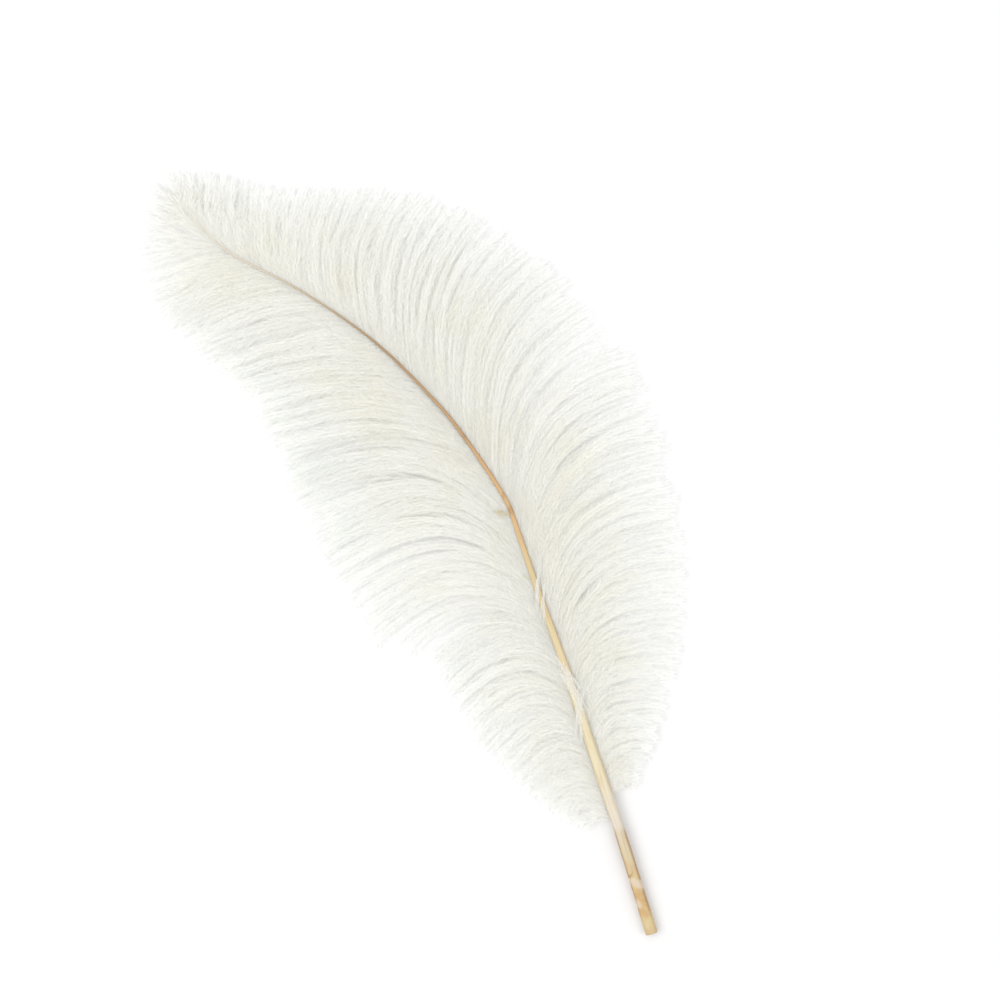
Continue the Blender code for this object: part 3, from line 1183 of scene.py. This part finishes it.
@dataclass
class Shaft:
    """The quill and rachis as one fine closed surface, with a bored, cut butt."""

    line: ShaftLine
    rings: int = 620
    sides: int = 28
    quill_end: float = 48 * MM
    squaring: float = 40 * MM
    squareness: float = 0.7
    groove: float = 0.17
    bore_depth: float = 6 * MM
    clear: float = 0.02 * MM
    strips: int = 8

    def section(self, turn: np.ndarray, vane_share: np.ndarray) -> tuple[np.ndarray, np.ndarray]:
        """Sideways and upward offsets of the outline for a width of 2.

        A superellipse whose power grows from 2 on the quill, with a furrow beneath.

        Args:
            turn: Angles round the shaft.
            vane_share: 0 on the quill and 1 where the vanes grow.

        Returns:
            The sideways and the upward offsets.
        """
        power = 2 / (2 + self.squareness * vane_share)
        side = np.sign(np.cos(turn)) * np.abs(np.cos(turn)) ** power
        rise = np.sign(np.sin(turn)) * np.abs(np.sin(turn)) ** power
        furrow = self.groove * vane_share * np.exp(-((side / 0.35) ** 2)) * (rise < 0)
        return side, rise + furrow

    def build(self) -> None:
        """Builds the shaft, dresses it and puts it in its node's place."""
        piece = self.surface()
        piece.data.materials.append(HornFinish(self.line.length).make())
        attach(piece, "root")
        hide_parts("shaft")

    def surface(self) -> bpy.types.Object:
        """Makes the shaft's surface as a grid of angle and place along the centre line.

        The CAD's half width is changed by low ridges, which turn slowly along the shaft,
        and by two slow waves of swelling.

        Returns:
            The piece.
        """
        random = np.random.default_rng(11)
        length = self.line.length
        along = np.linspace(0, 1, self.rings) ** 1.05 * length
        turn = (np.arange(self.sides) + 0.5) * 2 * np.pi / self.sides
        vane_share = np.clip((along - self.quill_end) / self.squaring, 0, 1)[:, None]
        side, rise = self.section(turn[None, :], vane_share)
        radius = self.line.half_width(along)[:, None]
        ridges = sum(
            size * np.sin(count * turn[None, :] + random.uniform(0, 6.28) + along[:, None] * drift)
            for count, size, drift in ((9, 0.006, 40.0), (14, 0.005, -60.0), (5, 0.008, 25.0))
        )
        swell = 1 + 0.012 * np.sin(along * 260 + 1.0) + 0.008 * np.sin(along * 710 + 2.0)
        radius = radius * (1 + ridges * (1 - 0.4 * vane_share)) * swell[:, None]
        centre = self.line.point(along)
        ahead = self.line.ahead(along)
        across = unit(np.cross(ahead, UP))
        over = np.cross(across, ahead)
        points = (
            centre[:, None, :]
            + across[:, None, :] * (side * radius)[..., None]
            + over[:, None, :] * (rise * radius)[..., None]
        )
        bore = self._bore(points[0], centre[0], ahead[0])
        grid = np.concatenate([bore, points])
        grid[..., 2] = np.maximum(grid[..., 2], self.clear)
        return self._mesh(grid, len(bore), along / length)

    def _bore(self, rim: np.ndarray, centre: np.ndarray, ahead: np.ndarray) -> np.ndarray:
        """Rings from the bottom of the bore out to the cut face's edge.

        Args:
            rim: The shaft's first ring.
            centre: The middle of that ring.
            ahead: The shaft's direction there.

        Returns:
            Points of shape (rings, sides, 3).
        """
        rings = [(1.0, 0.30), (0.98, 0.42), (0.7, 0.50), (0.2, 0.545), (0.03, 0.56)]
        rings += [(0.0, 0.60), (0.0, 0.80), (0.0, 0.95)]
        parts = [
            centre + (rim - centre) * share + ahead * depth * self.bore_depth
            for depth, share in rings
        ]
        edge = centre + (rim - centre) * 0.985 - ahead * 0.01 * MM
        return np.stack([*parts, edge])

    def _mesh(self, grid: np.ndarray, bored: int, share: np.ndarray) -> bpy.types.Object:
        """Joins the rings, closes both ends and lays out the bake map in strips.

        Args:
            grid: The rings' points, from the bottom of the bore to the tip.
            bored: How many of the rings belong to the bore and the cut face.
            share: How far along the shaft each of the other rings is.

        Returns:
            The piece.
        """
        rings, sides = grid.shape[:2]
        number = np.arange(rings * sides).reshape(rings, sides)
        near, far = number[:-1], number[1:]
        around = np.roll(np.arange(sides), -1)
        quads = np.stack([near, far, far[:, around], near[:, around]], axis=-1)[..., ::-1]
        share = np.concatenate([np.linspace(-0.02, 0, bored, endpoint=False), share])
        place = (share - share[0]) / (share[-1] - share[0]) * self.strips * 0.9999
        strip = np.floor(place[:-1]).astype(int)[:, None, None]
        row = np.stack([place[:-1], place[:-1], place[1:], place[1:]], axis=-1)[:, None, :]
        side = np.arange(sides)
        turn = np.stack([side + 1, side, side, side + 1], axis=-1)
        u = (strip + 0.02 + 0.96 * turn[None] / sides) / self.strips
        v = np.clip(row - strip, 0, 1.0)
        maps = np.stack(np.broadcast_arrays(u, v), axis=-1)
        bottom, tip = rings * sides, rings * sides + 1
        points = np.vstack([grid.reshape(-1, 3), grid[0].mean(axis=0), grid[-1].mean(axis=0)])
        first, last = number[0], number[-1]
        caps = [
            np.stack([first[around], first, np.full(sides, bottom)], axis=-1)[:, ::-1],
            np.stack([last, last[around], np.full(sides, tip)], axis=-1)[:, ::-1],
        ]
        fan = np.linspace(0.02, 0.98, sides + 1) / self.strips
        cap_map = np.stack([fan[:-1], fan[1:], (fan[:-1] + fan[1:]) / 2], axis=-1)
        low = np.stack([cap_map, np.broadcast_to([0.003, 0.003, 0.0], cap_map.shape)], axis=-1)
        high = low.copy()
        high[..., 0] += (self.strips - 1) / self.strips
        high[..., 1] = 1 - high[..., 1]
        faces = [quads.reshape(-1, 4), *caps]
        piece = mesh_object("horn_shaft", points, faces, [maps.reshape(-1, 4, 2), low, high], True)
        strand = np.zeros((rings, sides, 3))
        strand[..., 0] = np.clip(share, 0, 1)[:, None]
        strand[..., 1] = (np.arange(sides) / sides)[None, :]
        strand[: bored - 4, :, 2] = 1.0
        ends = [[0, 0, 1], [1, 0, 0]]
        set_strand(piece, np.vstack([strand.reshape(-1, 3), ends]))
        LOG.info("horn_shaft: %d rings of %d", rings, sides)
        return piece


# --------------------------------------------------------------------- studio


@dataclass
class Studio:
    """The pale table, the soft lights and the camera looking straight down."""

    low: Vector
    high: Vector
    turn: float = -32.9
    lens: float = 100.0
    sensor: float = 36.0
    frame_side: float = 0.312
    sky: float = 0.98
    lamp_side: float = 1.2
    table_half: float = 3.0

    def table(self) -> bpy.types.Object:
        """Makes a wide flat table top just under the plume.

        Returns:
            The table.
        """
        half = self.table_half
        points = np.array([[-half, -half, 0], [half, -half, 0], [half, half, 0], [-half, half, 0]])
        faces = [np.array([[0, 1, 2, 3]])]
        maps = [np.array([[[0, 0], [1, 0], [1, 1], [0, 1]]], dtype=float)]
        table = mesh_object("table", points, faces, maps, False)
        table.data.materials.append(TableFinish().make())
        return table

    def lamp(self, name: str, place: tuple[float, float, float], watts: float) -> None:
        """Hangs a square soft light, aimed at the plume.

        Args:
            name: The light's name.
            place: Where it hangs, in metres.
            watts: Its power.
        """
        data = bpy.data.lights.new(name, "AREA")
        data.size = self.lamp_side
        data.energy = watts
        lamp = bpy.data.objects.new(name, data)
        lamp.location = place
        lamp.rotation_euler = (-Vector(place)).to_track_quat("-Z", "Y").to_euler()
        lamp.visible_camera = False
        bpy.context.scene.collection.objects.link(lamp)

    def camera(self) -> None:
        """A long lens straight above the plume, rolled so that it slants up to the left."""
        data = bpy.data.cameras.new("camera")
        data.lens = self.lens
        data.sensor_width = self.sensor
        camera = bpy.data.objects.new("camera", data)
        distance = self.frame_side * self.lens / self.sensor
        middle = (self.low + self.high) / 2
        camera.location = (middle.x, middle.y, distance)
        camera.rotation_euler = (0, 0, np.radians(self.turn))
        bpy.context.scene.collection.objects.link(camera)
        bpy.context.scene.camera = camera

    def light(self) -> None:
        """Even light from the sky and a large key light from the upper left.

        White down is only white if light can bounce in it many times.
        """
        world = bpy.data.worlds.new("white_room")
        world.use_nodes = True
        world.node_tree.nodes["Background"].inputs[0].default_value = (1, 1, 1, 1)
        world.node_tree.nodes["Background"].inputs[1].default_value = self.sky
        scene = bpy.context.scene
        scene.world = world
        self.lamp("key", (-1.1, 0.65, 1.8), 16.6)
        self.lamp("fill", (0.9, -0.9, 1.8), 6.0)
        scene.view_settings.view_transform = "Standard"
        scene.cycles.diffuse_bounces = 12
        scene.cycles.transmission_bounces = 14
        scene.cycles.max_bounces = 24


def main() -> None:
    """Loads the frame, grows and dresses the plume, and sets the studio up."""
    logging.basicConfig(level=logging.INFO, format="%(message)s")
    for thing in list(bpy.data.objects):
        bpy.data.objects.remove(thing, do_unlink=True)
    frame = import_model()
    cad_low, cad_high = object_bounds()
    nodes = frame["nodes"]
    line = ShaftLine(nodes["shaft"])
    LOG.info("shaft: %.1f mm along its curve", line.length / MM)
    Shaft(line).build()
    down = DownFinish().make()
    for growth, node in ((LEFT_GROWTH, "left_vane"), (RIGHT_GROWTH, "right_vane")):
        outline = VaneOutline(nodes[node], cad_low, cad_high)
        Vane(growth, line, outline).build(node, down)
    tan = DownFinish(
        name="tan_down",
        root=(0.83, 0.77, 0.58),
        middle=(0.89, 0.85, 0.70),
        tip=(0.95, 0.93, 0.85),
        lit=(0.88, 0.84, 0.69),
    )
    LooseDown(line).build(down, tan.make())
    studio = Studio(cad_low, cad_high)
    studio.table()
    studio.light()
    studio.camera()


if __name__ == "__main__":
    main()
